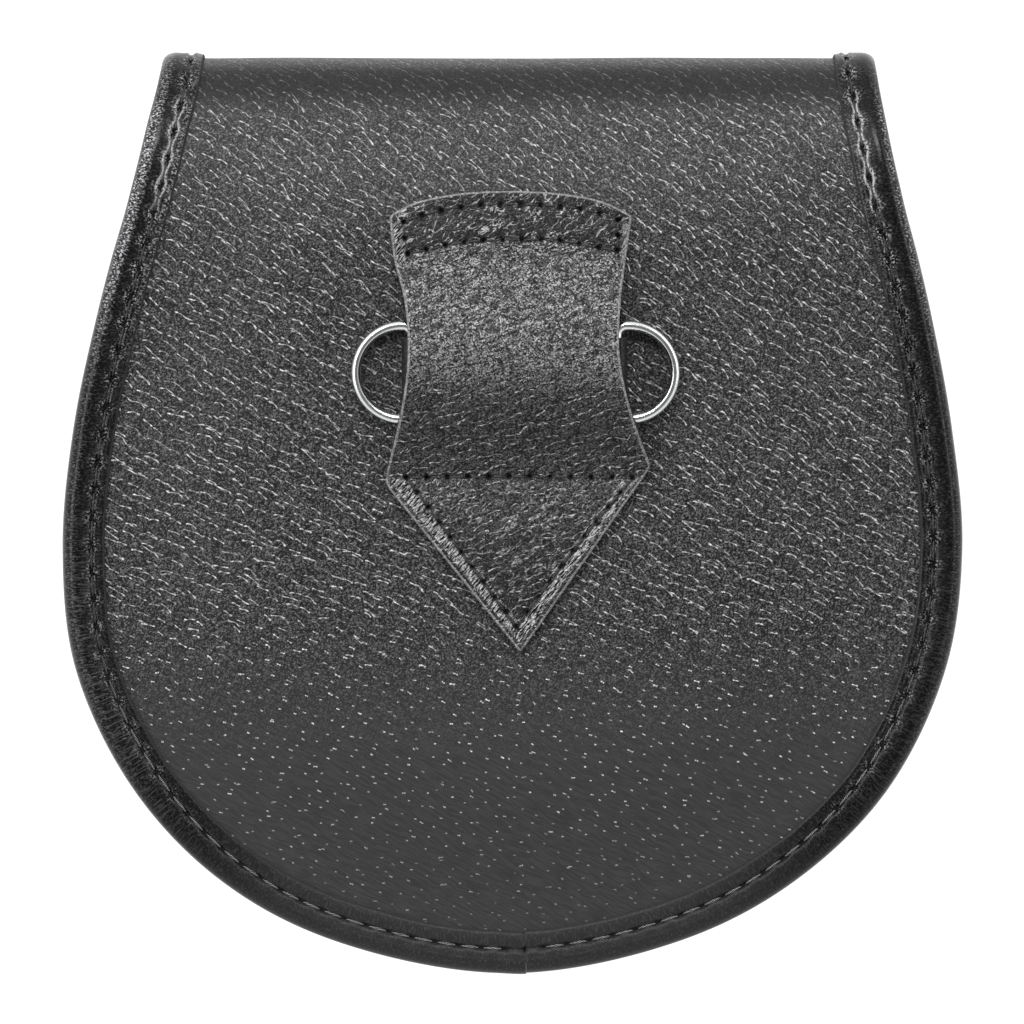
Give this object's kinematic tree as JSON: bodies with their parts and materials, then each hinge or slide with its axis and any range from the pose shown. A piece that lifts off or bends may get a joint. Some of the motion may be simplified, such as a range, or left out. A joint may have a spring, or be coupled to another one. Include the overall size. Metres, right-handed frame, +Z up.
{
  "type": "leather sporran pouch",
  "caption": "Rounded leather pouch with a fold-over flap, bound edge, gusset, and on its back a stitched belt tab over two swinging D rings.",
  "frame": {"origin": "bottom centre of the pouch's box: on the floor, under the middle of the pouch as it lies on its flap with its back up", "axes": "+X to the right as the back is looked at, +Y towards the top fold, +Z up out of the back"},
  "size_m": [0.2, 0.2054, 0.0526],
  "materials": {
    "grained_leather": "black, embossed pebble grain, low sheen",
    "smooth_leather": "black, smooth, satin",
    "binding_leather": "black, smooth, satin, puckered at the stitches",
    "tab_leather": "black, fine grain, raw cut edges",
    "chromed_wire": "polished",
    "stud_metal": "nickel-plated, satin"
  },
  "bodies": {
    "pouch": {"back_and_flap": "grained_leather", "front_panel": "grained_leather", "gusset": "smooth_leather", "edge_binding": "binding_leather", "belt_tab": "tab_leather", "ring_keeper": "tab_leather", "flap_stud": "stud_metal"},
    "left_ring": {"d_ring_left": "chromed_wire"},
    "right_ring": {"d_ring_right": "chromed_wire"}
  },
  "joints": [
    {"name": "left_ring_swing", "type": "hinge", "parent": "pouch", "child": "left_ring", "pos_m": [-0.0223, 0.0306, 0.04255], "axis": [0, 1, 0], "range_deg": [0, 45]},
    {"name": "right_ring_swing", "type": "hinge", "parent": "pouch", "child": "right_ring", "pos_m": [0.0232, 0.0306, 0.04255], "axis": [0, -1, 0], "range_deg": [0, 45]}
  ]
}
